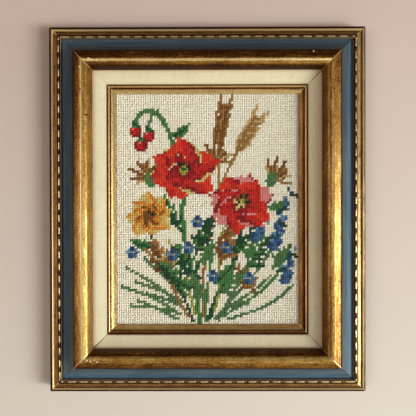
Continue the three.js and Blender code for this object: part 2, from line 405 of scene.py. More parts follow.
class Surface:
    """A material. Each call adds a node to it and returns what the node gives."""

    def __init__(self, name, **shader):
        self.material = bpy.data.materials.new(name)
        self.material.use_nodes = True
        self.tree = self.material.node_tree
        self.shader = self.tree.nodes["Principled BSDF"]
        self.set(**shader)

    def set(self, **shader):
        """Sets the shader's inputs, each named in lower case with underscores."""
        for name, value in shader.items():
            self.feed(self.shader.inputs[name.replace("_", " ").title().replace("Ior", "IOR")], value)

    def feed(self, socket, value):
        if isinstance(value, Value):
            self.tree.links.new(value.socket, socket)
        else:
            socket.default_value = value

    def add(self, kind, inputs, output=0, **settings):
        node = self.tree.nodes.new("ShaderNode" + kind)
        for name, value in settings.items():
            setattr(node, name, value)
        for place, value in inputs.items():
            self.feed(node.inputs[place], value)
        return Value(self, node.outputs[output])

    def place(self):
        """Where a point is on the object, in metres."""
        return self.add("TexCoord", {}, "Object")

    def value(self, name):
        return self.add("Attribute", {}, "Fac", attribute_name=name)

    def vector(self, name):
        return self.add("Attribute", {}, "Vector", attribute_name=name)

    def stretch(self, vector, scale, turn=(0, 0, 0)):
        return self.add("Mapping", {"Vector": vector, "Scale": scale, "Rotation": turn})

    def noise(self, vector, scale, detail=3.0, roughness=0.55, warp=0.0):
        inputs = {"Vector": vector, "Scale": scale, "Detail": detail, "Roughness": roughness}
        return self.add("TexNoise", {**inputs, "Distortion": warp}, "Fac")

    def cells(self, vector, scale):
        """Distance from the middle of the nearest of many scattered cells."""
        return self.add("TexVoronoi", {"Vector": vector, "Scale": scale}, "Distance", feature="F1")

    def specks(self, place, count, large, small, patch, some, strength):
        """Round specks from large to small in radius, in some of the patches alone."""
        return self.cells(place, count).ramp(large, small) * patch.ramp(*some, 0.0, strength)

    def steps(self, value, stops):
        """A colour for each value from 0 to 1, from stops of a value and a linear colour."""
        node = self.tree.nodes.new("ShaderNodeValToRGB")
        elements = node.color_ramp.elements
        while len(elements) < len(stops):
            elements.new(0.5)
        for element, (at, colour) in zip(elements, stops):
            element.position = at
            element.color = colour
        self.feed(node.inputs["Fac"], value)
        return Value(self, node.outputs["Color"])

    def colours(self, value, stops):
        """A colour for each value from 0 to 1, from stops of a value and a colour on screen."""
        return self.steps(value, [(at, linear(*colour)) for at, colour in stops])

    def levels(self, value, stops):
        """A number for each value from 0 to 1, from stops of a value and a number."""
        return self.steps(value, [(at, (level, level, level, 1)) for at, level in stops])

    def math(self, operation, first, second=0.5, third=0.0):
        return self.add("Math", {0: first, 1: second, 2: third}, operation=operation)

    def split(self, vector):
        node = self.tree.nodes.new("ShaderNodeSeparateXYZ")
        self.feed(node.inputs[0], vector)
        return [Value(self, output) for output in node.outputs]

    def join(self, x, y, z):
        return self.add("CombineXYZ", {0: x, 1: y, 2: z})

    def mix(self, share, first, second, blend="MIX"):
        inputs = {0: share, 6: first, 7: second}
        return self.add("Mix", inputs, 2, data_type="RGBA", blend_type=blend, clamp_result=True)

    def layers(self, colour, coats, blend="MIX"):
        """A colour with coats over it, each given as how much it covers and its colour on screen."""
        for share, coat in coats:
            colour = self.mix(share, colour, linear(*coat), blend)
        return colour

    def marks(self, places, radius):
        """From 0 to 1 in ragged spots at places, each as millimetres right and up of the frame's middle."""
        flat = self.stretch(self.place(), (1, 0, 1))
        ragged = self.noise(self.place(), 900, 2, 0.7).ramp(0.3, 0.7, -0.5, 0.5)
        found = []
        for right, up in places:
            point = (right * MM, 0, (up + CENTRE_Z) * MM)
            far = self.add("VectorMath", {0: flat, 1: point}, 1, operation="DISTANCE")
            found.append((far * (1 / (radius * MM)) + ragged).ramp(1.0, 0.75))
        return functools.reduce(Value.most, found)

    def bump(self, height, strength, depth, below=None):
        inputs = {"Height": height, "Strength": strength, "Distance": depth}
        if below is not None:
            inputs["Normal"] = below
        return self.add("Bump", inputs)


def gilt(name, zones, golds, wear, specks, rough, chips=(), stains=(), smear=None):
    """Antique gold over dark brown: zones gives how much gold is left at each inset, and tone adds painted
    light and shade.

    Golds are the colours from the most worn to the brightest gold. Wear is how uneven it is, and specks how
    strong the flecks of glaze are. Chips and stains are the places of bright and dark marks. The cove's paint
    runs over the gold from the inset smear.
    """
    paint = Surface(name)
    rail, place = paint.vector("rail"), paint.place()
    inset = paint.value("inset") * (1 / WIDEST_INSET)
    mottle = paint.noise(rail, 420, 3, 0.6)
    dashes = paint.noise(paint.stretch(rail, (420, 1050, 1050)), 1.0, 2, 0.7)
    grain = paint.noise(paint.stretch(rail, (60, 700, 700)), 1.0, 2, 0.6)
    patches = paint.noise(rail, 38, 2, 0.5)

    left = paint.levels(inset, [(at / WIDEST_INSET, level) for at, level in zones])
    patterns = [(mottle, -0.18, 0.16), (dashes, -0.18, 0.16), (grain, -0.2, 0.2), (patches, -0.1, 0.1)]
    for pattern, low, high in patterns:
        left += pattern.ramp(0.3, 0.7, low * wear, high * wear)
    left += paint.value("mitre").ramp(1.1, 0.3) * mottle.ramp(0.35, 0.6, 0.1, 0.8)
    left += paint.value("crest").ramp(0.15, 0.9, 0.0, 0.2 * wear)
    left += paint.value("groove").ramp(0.1, 0.8, 0.0, -0.55 * wear)
    # The tone attribute paints light and shade for each side, and it also sets how metallic and rough the
    # gold is there.
    left = (left + paint.value("tone")).ramp(0.1, 0.95)
    colour = paint.colours(left, [(i / (len(golds) - 1), gold) for i, gold in enumerate(golds)])

    # Small flecks of glaze, and a few larger spots
    fleck = paint.specks(place, 420, 0.17, 0.09, paint.noise(place, 210, 2), (0.52, 0.62), specks)
    spot = paint.specks(place, 95, 0.085, 0.06, paint.noise(place, 47, 1), (0.55, 0.6), specks)
    marks = fleck.most(spot)
    if stains:
        marks = marks.most(paint.marks(stains, 1.1))
    coats = [(marks, (42, 22, 10))]
    if chips:
        coats.append((paint.marks(chips, 1.0), (255, 236, 186)))
    if smear:
        coats.append((inset.ramp((smear - 0.3) / WIDEST_INSET, smear / WIDEST_INSET), (118, 124, 124)))

    paint.set(base_color=paint.layers(colour, coats), specular_ior_level=0.15)
    paint.set(metallic=left.ramp(0.05, 0.9, 0.3, 0.72) * marks.ramp(0.0, 1.0, 1.0, 0.1))
    paint.set(roughness=left.ramp(0.0, 1.0, rough + 0.14, rough) + mottle.ramp(0.3, 0.7, -0.04, 0.05))
    wander = paint.bump(paint.noise(rail, 16, 1, 0.4), 0.08, 0.001)
    paint.set(normal=paint.bump(mottle * 0.7 + grain * 0.3 + dashes * 0.6, 0.55 * wear, 0.00016, wander))
    return paint.material


def slate_paint():
    """Slate blue paint over the cove, brushed along it, rubbed at its edges, with painted light and shade for
    each side.
    """
    paint = Surface("slate_blue_paint", specular_ior_level=0.45)
    rail, tone = paint.vector("rail"), paint.value("tone")
    brush = paint.noise(paint.stretch(rail, (16, 520, 520)), 1.0, 4, 0.62)
    cloud = paint.noise(rail, 30, 3, 0.5)
    fine = paint.noise(paint.place(), 900, 3, 0.6)
    worn = paint.value("crest").ramp(0.35, 0.9) * fine.ramp(0.5, 0.62, 0.0, 0.8)
    grime = paint.value("groove").ramp(0.1, 0.8, 0.0, 0.5) + fine.ramp(0.66, 0.76, 0.0, 0.4)
    coats = [
        (brush.ramp(0.35, 0.72, 0.0, 0.5), (112, 130, 134)),
        (cloud.ramp(0.4, 0.72, 0.0, 0.55), (58, 84, 106)),
        (brush.ramp(0.5, 0.25, 0.0, 0.6), (40, 52, 62)),
        # Painted shade and painted light for each side of the frame, from the tone attribute
        (tone.ramp(0.0, -1.0), (32, 32, 34)),
        (tone.ramp(0.0, 1.0), (170, 192, 202)),
        (worn, (120, 92, 62)),
        (grime.ramp(0, 1), (24, 24, 26)),
    ]
    across = paint.value("inset").ramp(EDGE_INNER, COVE_INNER)
    paint.set(base_color=paint.layers(paint.colours(across, COVE_BLUES), coats))
    paint.set(roughness=brush.ramp(0.3, 0.7, 0.36, 0.48) + fine.ramp(0.4, 0.7, -0.03, 0.05))
    wander = paint.bump(paint.noise(rail, 24, 2, 0.4), 0.25, 0.0012)
    paint.set(normal=paint.bump(brush * 0.8 + fine * 0.35, 0.4, 0.00014, wander))
    return paint.material


def plain_weave(cloth, vector, warp_count, weft_count):
    """Height from 0 to 1 and tone of a plain weave, whose threads run along the x and y of a vector."""
    x, y, _ = cloth.split(vector)
    bend = cloth.noise(vector, 160, 2, 0.5).ramp(0.2, 0.8, -0.5, 0.5)
    u, v = x * warp_count + bend, y * weft_count + bend
    ridge_u, ridge_v = u.ridges(), v.ridges()
    over = cloth.math("PINGPONG", u.floor() + v.floor(), 1.0)
    under = 1.0 - over
    warp = ridge_u * ridge_v.ramp(0, 1, 0.35, 1.0)
    weft = ridge_v * ridge_u.ramp(0, 1, 0.35, 1.0)
    long_x = cloth.noise(cloth.join(x * 60, v.floor(), 0.3), 1.0, 2, 0.6)
    long_y = cloth.noise(cloth.join(u.floor(), y * 60, 7.7), 1.0, 2, 0.6)
    return warp * over + weft * under, long_x * over + long_y * under


def linen_cloth():
    """Natural linen, wrapped round the liner with its threads along and across each length."""
    cloth = Surface("natural_linen", roughness=0.92, specular_ior_level=0.2)
    cloth.set(sheen_weight=0.15, sheen_roughness=0.5)
    rail, place = cloth.vector("rail"), cloth.place()
    height, tone = plain_weave(cloth, rail, 1750, 1900)
    across = cloth.value("inset").ramp(ROLL_INNER, LINER_INNER)
    coats = [
        (height.ramp(0.0, 0.55, 0.55, 0.0), (170, 152, 116)),
        (cloth.noise(place, 24, 3, 0.6).ramp(0.42, 0.75, 0.0, 0.35), (214, 196, 158)),
        (cloth.levels(across, [(0.0, 0.55), (0.2, 0.12), (0.8, 0.0), (1.0, 0.2)]), (190, 160, 122)),
        (cloth.specks(place, 160, 0.11, 0.06, cloth.noise(place, 71, 1), (0.58, 0.62), 0.5), (120, 96, 62)),
    ]
    thread = cloth.mix(tone.ramp(0.3, 0.7), linear(232, 214, 176), linear(251, 240, 210))
    wander = cloth.bump(cloth.noise(rail, 45, 3, 0.5), 0.2, 0.0008)
    relief = height + (tone * 0.4 + cloth.noise(place, 2600, 2, 0.7) * 0.3)
    cloth.set(base_color=cloth.layers(thread, coats), normal=cloth.bump(relief, 0.6, 0.00016, wander))
    return cloth.material


def bare_wood():
    """Pale softwood on the backs, sawn and planed along each length."""
    wood = Surface("bare_softwood", specular_ior_level=0.3)
    rail = wood.vector("rail")
    rings = wood.noise(wood.stretch(rail, (5, 150, 150)), 1.0, 4, 0.6, 0.6)
    pores = wood.noise(wood.stretch(rail, (60, 2200, 2200)), 1.0, 2, 0.6)
    cloud = wood.noise(wood.place(), 14, 2, 0.5)
    grain = [(0.0, (150, 112, 70)), (0.4, (196, 160, 112)), (0.6, (208, 176, 130)), (1.0, (168, 126, 80))]
    coats = [
        (pores.ramp(0.5, 0.7, 0.0, 0.5), (126, 88, 52)),
        (cloud.ramp(0.4, 0.7, 0.0, 0.5), (150, 118, 82)),
    ]
    wood.set(base_color=wood.layers(wood.colours(rings.ramp(0.25, 0.75), grain), coats))
    wood.set(roughness=pores.ramp(0.3, 0.7, 0.6, 0.78), normal=wood.bump(rings * 0.5 + pores, 0.5, 0.0002))
    return wood.material


def wool(name):
    """A ply of wool in one colour. Each stitch's own tone, and the strands along it, vary."""
    light, dark = (linear(*tone) for tone in YARNS[name])
    yarn = Surface("wool_" + name, roughness=0.95, specular_ior_level=0.15)
    yarn.set(sheen_weight=0.25, sheen_roughness=0.45)
    along, around, number = yarn.split(yarn.vector("strand"))
    twist = yarn.math("SINE", around * (6 * math.pi) + along * 5.0)
    fibre = yarn.noise(yarn.join(along * 2.2, around * 14, number), 1.6, 3, 0.65)
    faded = yarn.noise(yarn.place(), 26, 2, 0.5)
    share = yarn.value("tone") * 0.5 + fibre.ramp(0.25, 0.75, 0.0, 0.5) + twist.ramp(-1, 1, -0.1, 0.12)
    colour = yarn.mix(share.ramp(0.05, 0.95), dark, light)
    colour = yarn.mix(faded.ramp(0.35, 0.75, 0.0, 0.16), colour, light)
    yarn.set(base_color=colour, normal=yarn.bump(twist * 0.5 + fibre, 0.7, 0.00012))
    return yarn.material


def canvas_cloth():
    """Canvas between the stitches and slanted wool on its back, in each yarn's dark tone: painted shade in
    the gaps.
    """
    cloth = Surface("canvas_and_wool_backs", roughness=0.95, specular_ior_level=0.15, sheen_weight=0.2)
    stitch = cloth.vector("stitch")
    across, up, _ = cloth.split(stitch)
    ridge = (up + across * -0.5).ridges()
    fibre = cloth.noise(cloth.stretch(cloth.place(), (500, 500, 1400), (0, 0.5, 0)), 1.0, 3, 0.6)
    patch = cloth.noise(stitch, 0.9, 2, 0.6)
    yarn = cloth.add("VertexColor", {}, "Color", layer_name="yarn")
    colour = cloth.layers(yarn, [(ridge.ramp(0.0, 0.7, 0.5, 0.05), (140, 124, 96))])
    shadows = [
        (patch.ramp(0.3, 0.7, 0.0, 0.2), (150, 134, 106)),
        (fibre.ramp(0.4, 0.7, 0.0, 0.4), (90, 78, 58)),
    ]
    colour = cloth.layers(colour, shadows, "MULTIPLY")
    cloth.set(base_color=colour, normal=cloth.bump(ridge + fibre * 0.4, 0.8, 0.0005))
    return cloth.material


def stage_surface(name, low, high, one_sided):
    """A pale matt surface, tinted by height and a little uneven. On the wall the tint is painted light from
    below.

    A one-sided one is clear from behind, and light from behind it reaches the back of the frame.
    """
    paint = Surface(name, roughness=0.85, specular_ior_level=0.2)
    place = paint.place()
    right, _, up = paint.split(place)
    # Painted light on the wall: lighter and yellower low down, pinker and darker higher up
    tint = paint.mix(up.ramp(-0.4, 0.06), linear(*low), linear(*high))
    shade = paint.mix(paint.noise(place, 3.0, 3, 0.5), tint, (0.94, 0.94, 0.94, 1), "MULTIPLY")
    paint.set(base_color=shade, normal=paint.bump(paint.noise(place, 60, 2, 0.5), 0.06, 0.0006))
    if one_sided:
        beside = right.size().above((FRAME_WIDTH / 2 - WALL_OPENING) * MM)
        over = (up + -CENTRE_Z * MM).size().above((FRAME_HEIGHT / 2 - WALL_OPENING) * MM)
        blocks = paint.add("LightPath", {}, "Is Camera Ray").most(beside.most(over))
        passes = paint.add("NewGeometry", {}, "Backfacing").most(1.0 - blocks)
        clear = paint.add("BsdfTransparent", {})
        shown = paint.add("MixShader", {0: passes, 1: Value(paint, paint.shader.outputs[0]), 2: clear})
        paint.feed(paint.tree.nodes["Material Output"].inputs["Surface"], shown)
    return paint.material


def curve_point(start, pull, end, t):
    """The point at t, from 0 to 1, on a curve from start to end that is drawn towards pull."""
    return start * (1 - t) ** 2 + pull * 2 * t * (1 - t) + end * t * t


def section_line(strip):
    """A strip's fine section, as arrays of inset, height, distance round it, crest, groove and bareness."""
    corners = []
    for name, inset, height, *bend in SECTIONS[strip]:
        end = Vector((inset, height))
        is_bare = strip != CLOTH_STRIP and (name in BARE_ROWS or not corners)
        if bend:
            start, pull = corners[-1][0], Vector(bend[0])
            steps = [step / CURVE_STEPS for step in range(1, CURVE_STEPS + 1)]
            corners += [(curve_point(start, pull, end, t), is_bare) for t in steps]
        else:
            corners.append((end, is_bare))

    # Every sharp corner is rounded a little, and long flat stretches get a point near each end
    points = []
    for i, (here, is_bare) in enumerate(corners):
        after, next_bare = corners[(i + 1) % len(corners)]
        back, on = corners[i - 1][0] - here, after - here
        if back.length > LONG_FLAT:
            points.append((here + back.normalized() * FLAT_END, is_bare))
        if abs(math.pi - back.angle(on)) < SMOOTH_TURN:
            points.append((here, is_bare))
        else:
            first = here + back.normalized() * min(CORNER_ROUND, 0.4 * back.length)
            last = here + on.normalized() * min(CORNER_ROUND, 0.4 * on.length)
            for t in (0, 0.35, 0.65, 1):
                points.append((curve_point(first, here, last, t), is_bare and (t < 0.5 or next_bare)))
        if on.length > LONG_FLAT:
            points.append((here + on.normalized() * FLAT_END, next_bare))

    outline = np.array([tuple(point) for point, _ in points])
    steps = np.roll(outline, -1, 0) - outline
    lengths = np.hypot(steps[:, 0], steps[:, 1])
    around = np.concatenate([[0], np.cumsum(lengths)[:-1]])
    angles = np.arctan2(steps[:, 1], steps[:, 0])
    turns = (angles - np.roll(angles, 1) + math.pi) % (2 * math.pi) - math.pi
    apart = np.abs(around[:, None] - around[None, :])
    apart = np.minimum(apart, around[-1] + lengths[-1] - apart)
    crest = (np.maximum(-turns, 0) * np.exp(-((apart / 0.7) ** 2))).sum(1)
    groove = (np.maximum(turns, 0) * np.exp(-((apart / 0.8) ** 2))).sum(1)
    return {
        "inset": outline[:, 0],
        "height": outline[:, 1],
        "around": around,
        "crest": np.clip(crest / 1.2, 0, 1),
        "groove": np.clip(groove, 0, 1),
        "bare": np.array([is_bare for _, is_bare in points]),
    }


def place_piece(name, mesh):
    """An object of a mesh, in the scene."""
    piece = bpy.data.objects.new(name, mesh)
    bpy.context.scene.collection.objects.link(piece)
    return piece


def mesh_of(name, points, faces, *materials):
    mesh = bpy.data.meshes.new(name)
    mesh.from_pydata([tuple(point) for point in points], [], faces)
    for material in materials:
        mesh.materials.append(material)
    return mesh


def part_piece(name, points, faces, *materials):
    """A piece of the panel, of points in metres, that rides on the part's one body."""
    piece = place_piece(name, mesh_of(name, points, faces, *materials))
    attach(piece, "root")
    return piece


def face_outwards(mesh):
    shell = bmesh.new()
    shell.from_mesh(mesh)
    bmesh.ops.recalc_face_normals(shell, faces=shell.faces)
    shell.to_mesh(mesh)
    shell.free()


def shade_smooth(mesh):
    mesh.polygons.foreach_set("use_smooth", [True] * len(mesh.polygons))


def write_values(mesh, name, values, kind="FLOAT"):
    layer = mesh.attributes.new(name, kind, "POINT")
    field = "vector" if kind == "FLOAT_VECTOR" else "value"
    layer.data.foreach_set(field, np.asarray(values, np.float32).ravel())


def side_sizes(side):
    """The frame's size along a side's rail, and across it."""
    return (FRAME_WIDTH, FRAME_HEIGHT) if side in ("top", "bottom") else (FRAME_HEIGHT, FRAME_WIDTH)


def side_place(side, point):
    """Points of a side's rail in metres, from millimetres along it from its middle, inset and height."""
    _, _, along, inward = SIDES[side]
    centre = np.array((0, 0, CENTRE_Z)) - np.array(inward) * side_sizes(side)[1] / 2
    return (
        centre
        + np.outer(point["along"], np.array(along))
        + np.outer(point["inset"], np.array(inward))
        + np.outer(point["height"], np.array(FRONT))
    ) * MM


def end_cut(strip, corner, inset):
    """How far an end stands back from the mitre line at each inset."""
    low, high = inset.min(), inset.max()
    outer_share = 1 - (inset - low) / (high - low)
    return SHUT_MITRE + OPEN_MITRES.get((strip, corner), 0) * outer_share


def signed_power(number, power):
    return math.copysign(abs(number) ** power, number)


def carved_row(side):
    """Bars and beads carved along the edge strip: what build_rail keeps for each point, and the faces."""
    inset = CARVED_INSETS[side]
    reach = side_sizes(side)[0] / 2 - inset - CARVED_END
    repeats = round(2 * reach / CARVED_REPEAT)
    pitch = 2 * reach / repeats
    shapes = []
    for i in range(repeats):
        middle = -reach + (i + 0.5) * pitch
        shapes.append((middle + pitch * BAR_MIDDLE, pitch * BAR_HALF, CARVED_WIDE / 2, 11, 12, 1.0))
        for k in range(BEADS):
            bead = middle + pitch * (BEAD_FIRST + BEAD_STEP * k)
            shapes.append((bead, BEAD_HALF, CARVED_WIDE / 2 * BEAD_WIDE, 7, 8, BEAD_SHINE))
    for end in (-1, 1):
        shapes.append((end * (reach + KNOB_PAST), KNOB_HALF, CARVED_WIDE / 2, 7, 8, KNOB_SHINE))
    luck = random.Random("carving " + side)
    points, faces, raised = [], [], []
    for middle, half_long, half_wide, rings, sides, shine in shapes:
        tall = CARVED_TALL * luck.uniform(0.9, 1.05) * (0.8 + 0.2 * shine)
        middle += luck.uniform(-0.07, 0.07)
        tilt = CARVED_TILT + luck.uniform(-0.05, 0.05)
        base = len(points)
        square = 0.25 if half_long > 2 else 0.7
        for r in range(rings):
            swing = math.pi * r / (rings - 1)
            along = middle - half_long * signed_power(math.cos(swing), square)
            girth = math.sin(swing) ** square if 0 < r < rings - 1 else 0.0
            for s in range(sides):
                turn = 2 * math.pi * s / sides
                across = girth * signed_power(math.cos(turn), 0.5)
                top = signed_power(math.sin(turn), 0.4)
                height = CARVED_BED + tall * girth * top + tilt * across
                points.append((along, inset + half_wide * across, height))
                raised.append(girth * max(top, 0) * shine)
        for r in range(rings - 1):
            for s in range(sides):
                a, b = base + r * sides + s, base + r * sides + (s + 1) % sides
                c, d = a + sides, b + sides
                if r == 0:
                    faces.append((base, d, c))
                elif r == rings - 2:
                    faces.append((a, b, base + (rings - 1) * sides))
                else:
                    faces.append((a, b, d, c))
    points, raised = np.array(points), np.array(raised)
    return {
        "along": points[:, 0],
        "inset": points[:, 1],
        "height": points[:, 2],
        "around": points[:, 1] + CARVED_AROUND,
        "crest": 0.2 + 0.8 * raised,
        "groove": 0 * raised,
        "sunk": 0.9 * (1 - np.clip(raised * 2.2, 0, 1)),
    }, faces


def painted_light_at(strip, side, point):
    """Painted light and shade: how much lighter or darker than its finish a rail is at each point."""
    rows = PAINTED_LIGHT_BY_SIDE.get((strip, side), [(0, 0)])
    at = [row[0] for row in rows]
    halfway = [row[2] if len(row) > 3 else (row[1] + row[-1]) / 2 for row in rows]
    start = np.interp(point["inset"], at, [row[1] for row in rows])
    middle = np.interp(point["inset"], at, halfway)
    end = np.interp(point["inset"], at, [row[-1] for row in rows])
    share = 2 * point["along"] / side_sizes(side)[0]
    return middle + np.where(share < 0, start - middle, end - middle) * np.abs(share)


def build_rail(strip, side, finish):
    """One mitred length of a strip, with its carving on the edge strip, in place of its CAD solid."""
    start_corner, end_corner, _, _ = SIDES[side]
    line = LINES[strip]
    half = side_sizes(side)[0] / 2 - line["inset"]
    start = -half + end_cut(strip, start_corner, line["inset"])
    end = half - end_cut(strip, end_corner, line["inset"])
    stations = np.linspace(0, 1, RAIL_STATIONS)
    kept = ("inset", "height", "around", "crest", "groove")
    point = {name: np.tile(line[name], RAIL_STATIONS) for name in kept}
    point["along"] = (start[None, :] + (end - start)[None, :] * stations[:, None]).ravel()
    point["sunk"] = 0 * point["along"]

    faces, is_bare = [], []
    count = len(half)
    for station in range(RAIL_STATIONS - 1):
        for i in range(count):
            j = (i + 1) % count
            a, b = station * count + i, station * count + j
            faces.append((a, b, b + count, a + count))
            is_bare.append(line["bare"][j])
    last = (RAIL_STATIONS - 1) * count
    faces += [tuple(range(count)), tuple(range(last, last + count))]
    is_bare += [True] * 2

    if strip == "edge":
        carving, carved = carved_row(side)
        base = len(point["along"])
        faces += [tuple(base + i for i in face) for face in carved]
        is_bare += [False] * len(carved)
        bed_outer, bed_inner = CARVED_BED_INSETS
        point["sunk"] = (point["inset"] > bed_outer) & (point["inset"] < bed_inner)
        for name, values in carving.items():
            point[name] = np.concatenate([point[name], values])

    piece = part_piece(f"{strip}_{side}", side_place(side, point), faces, finish, BARE_WOOD)
    mesh = piece.data
    mesh.polygons.foreach_set("material_index", np.array(is_bare, np.int32))

    # Each length has a stretch of the patterns of its own
    number = list(SIDES).index(side) + len(SIDES) * list(SECTIONS).index(strip)
    shift = (PATTERN_SHIFT[0] * number, PATTERN_SHIFT[1] * number)
    pattern = [point["along"] + shift[0], point["around"], np.full(len(point["along"]), shift[1])]
    write_values(mesh, "rail", np.stack(pattern, 1) * MM, "FLOAT_VECTOR")
    for name in ("inset", "crest", "groove"):
        write_values(mesh, name, point[name])
    # The tone attribute is this side's painted light and shade. It is also darker in the carved bed and on
    # the carving's low sides.
    write_values(mesh, "tone", painted_light_at(strip, side, point) - point["sunk"])
    write_values(mesh, "mitre", side_sizes(side)[0] / 2 - point["inset"] - np.abs(point["along"]))
    face_outwards(mesh)
    shade_smooth(mesh)
    mesh.set_sharp_from_angle(angle=SHARP_EDGE)
    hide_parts(f"{strip}_rail_{side}")


class Chart:
    """The stitched design, one yarn for each stitch. Column 0 is at the left and row 0 at the bottom."""

    def __init__(self, columns, rows, ground):
        self.columns = columns
        self.rows = rows
        self.yarns = [[ground] * rows for _ in range(columns)]

    def put(self, x, y, yarn):
        column, row = math.floor(x), math.floor(y)
        if 0 <= column < self.columns and 0 <= row < self.rows:
            self.yarns[column][row] = yarn

    def cells(self, x, y, reach):
        """Centres of the stitches within reach of a point."""
        for column in range(math.floor(x - reach), math.ceil(x + reach) + 1):
            for row in range(math.floor(y - reach), math.ceil(y + reach) + 1):
                yield column + 0.5, row + 0.5

    def disc(self, x, y, wide, tall, turn, yarn):
        """A filled ellipse, turned anticlockwise by so many degrees."""
        cos, sin = math.cos(math.radians(turn)), math.sin(math.radians(turn))
        for px, py in self.cells(x, y, max(wide, tall)):
            across = ((px - x) * cos + (py - y) * sin) / wide
            along = ((py - y) * cos - (px - x) * sin) / tall
            if across * across + along * along <= 1:
                self.put(px, py, yarn)

    def ray(self, x, y, turn, length, yarn):
        """A straight line of stitches from a point in a direction. Returns its end."""
        end = (x + length * math.cos(math.radians(turn)), y + length * math.sin(math.radians(turn)))
        self.stem([(x, y), end], yarn)
        return end

    def stem(self, points, yarn, width=1):
        """A line of stitches along a curve from the first point to the last, drawn towards the others."""
        degree = len(points) - 1
        for i in range(STEM_STEPS + 1):
            t = i / STEM_STEPS
            weights = [math.comb(degree, k) * t**k * (1 - t) ** (degree - k) for k in range(degree + 1)]
            x = sum(w * p[0] for w, p in zip(weights, points))
            y = sum(w * p[1] for w, p in zip(weights, points))
            for k in range(width):
                self.put(x + k - (width - 1) / 2, y, yarn)

    def petal(self, x, y, turn, length, width, yarns, line=None, squash=1.0):
        """A ruffled petal: dark streaks at its root, one side lit, and a thin line down the other."""
        shade, body, light = yarns
        cos, sin = math.cos(math.radians(turn)), math.sin(math.radians(turn))
        for px, py in self.cells(x, y, length + width):
            dx, dy = px - x, (py - y) / squash
            along = (dx * cos + dy * sin) / length
            across = (dy * cos - dx * sin) / width
            if not 0 < along < 1.15:
                continue
            ruffle = 0.07 * math.sin(across * 6.5 + turn) + 0.04 * math.sin(across * 15 + turn * 2)
            tip = along + 0.16 * across * across + ruffle
            half = math.sin(math.pi * min(along, 1.0) ** 0.66 * 0.9 + 0.16) ** 0.7
            edge = across / max(half, 0.05)
            if tip > 1 or abs(edge) > 1:
                continue
            streak = 0.13 * math.sin(across * 10 + turn * 1.7) + 0.09 * math.sin(px * 2.3 + py * 1.1)
            if line and along > 0.22 and edge < -0.8 + 0.1 * math.sin(along * 14):
                self.put(px, py, line)
            elif tip < 0.42 + streak or edge < -0.62 + streak:
                self.put(px, py, shade)
            elif edge > 0.1 - 3.2 * streak and tip > 0.55:
                self.put(px, py, light)
            else:
                self.put(px, py, body)

    def leaf(self, root, tip, width, yarn, vein=None, bow=0.0):
        """A pointed leaf with a toothed edge, bowed to its left, with an optional vein."""
        (x0, y0), (x1, y1) = root, tip
        length = math.hypot(x1 - x0, y1 - y0)
        cos, sin = (x1 - x0) / length, (y1 - y0) / length
        for px, py in self.cells((x0 + x1) / 2, (y0 + y1) / 2, length / 2 + width + abs(bow)):
            along = ((px - x0) * cos + (py - y0) * sin) / length
            if not 0 <= along <= 1:
                continue
            across = (py - y0) * cos - (px - x0) * sin - bow * math.sin(math.pi * along)
            teeth = 1 + 0.3 * math.sin(along * length * 2.1)
            half = width * teeth * math.sin(math.pi * along**0.8)
            if abs(across) <= half:
                self.put(px, py, vein if vein and -0.2 < across < 0.8 and along < 0.85 else yarn)

    def fern(self, root, tip, pairs, reach, yarns, lean=48, taper=0.75):
        """Thin leaflets in pairs up a stalk, longest near its foot, each with a short barb."""
        (x0, y0), (x1, y1) = root, tip
        turn = math.degrees(math.atan2(y1 - y0, x1 - x0))
        self.stem([root, tip], yarns[0])
        for i in range(1, pairs + 1):
            t = i / (pairs + 0.4)
            x, y = x0 + (x1 - x0) * t, y0 + (y1 - y0) * t
            length = reach * (1 - taper * t) * (1.0 if i % 2 else 0.82)
            for side, yarn in ((1, yarns[0]), (-1, yarns[1])):
                way = turn + side * (lean + 7 * math.sin(i * 2.3 + side))
                end = self.ray(x, y, way, length, yarn)
                middle = ((x + end[0]) / 2, (y + end[1]) / 2)
                self.ray(*middle, way - side * 34, length * 0.34, yarn)
                if length > 4 and i % 2:
                    self.ray(x, y + 1, way, length * 0.55, yarns[-1])

    def fan(self, x, y, turn, spread, rays, length, yarns):
        """A brush of thin lines that spread from one point."""
        for i in range(rays):
            way = turn + spread * (i / (rays - 1) - 0.5) * 2
            far = length * (0.78 + 0.22 * math.cos(i * 2.7)) * math.cos(math.radians(way - turn) * 0.6)
            self.ray(x, y, way, far, yarns[i % len(yarns)])

    def ear(self, root, tip, grains, yarn, light):
        """An ear of grain: pairs of slanted grains up a stalk, and a whisker from every other one."""
        (x0, y0), (x1, y1) = root, tip
        turn = math.degrees(math.atan2(y1 - y0, x1 - x0))
        self.stem([root, tip], yarn)
        for i in range(grains):
            t = i / (grains - 1)
            x, y = x0 + (x1 - x0) * t, y0 + (y1 - y0) * t
            for side, shade in ((1, yarn), (-1, light)):
                way = turn + side * 40
                end = self.ray(x, y, way, 2.6, shade)
                self.ray(x + 0.8, y, way, 1.8, yarn if shade == light else light)
                if i % 2 == 0:
                    self.ray(*end, turn + side * 18, 4.0, light)

    def small_flower(self, x, y, size, yarns, heart):
        """Five short round petals and a heart."""
        for k in range(5):
            way = math.radians(18 + 72 * k)
            px, py = x + size * math.cos(way), y + size * math.sin(way)
            self.disc(px, py, size * 0.72, size * 0.72, 0, yarns[k % len(yarns)])
        self.put(x, y, heart)


